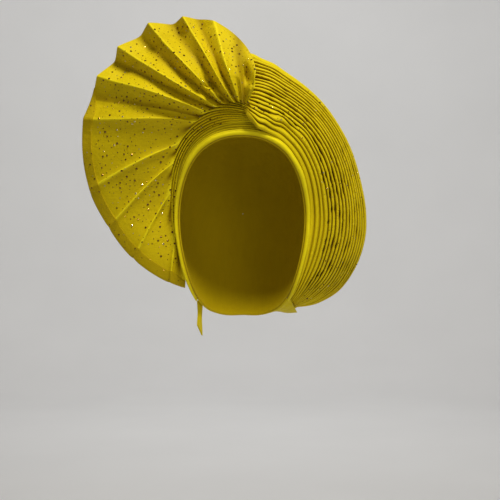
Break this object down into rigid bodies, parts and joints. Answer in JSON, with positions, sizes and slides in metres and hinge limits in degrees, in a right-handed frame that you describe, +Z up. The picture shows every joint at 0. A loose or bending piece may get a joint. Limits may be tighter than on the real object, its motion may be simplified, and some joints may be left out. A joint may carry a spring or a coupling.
{
  "type": "gele head tie",
  "caption": "Ready-tied gele head wrap: a pleated swath round one side of the face, a creased fan on the other, on a soft cap with a face band.",
  "frame": {"origin": "the crown of the head that wears it, inside the top of the cap", "axes": "+Z up; the face looks along -Y; +X to the wearer's left, the viewer's right"},
  "size_m": [0.3307, 0.2058, 0.3636],
  "materials": {
    "stoned_cloth": "mustard yellow woven cloth with a light sheen, set with small flat-backed stones",
    "plain_cloth": "plain mustard yellow cloth, matt"
  },
  "bodies": {
    "root": {"cap": "plain_cloth", "face_band": "plain_cloth", "fan": "stoned_cloth", "front_pleats": "stoned_cloth", "side_pleats": "stoned_cloth", "rim_fold": "stoned_cloth", "nape_strap": "plain_cloth", "tie_tail": "plain_cloth"}
  },
  "joints": []
}
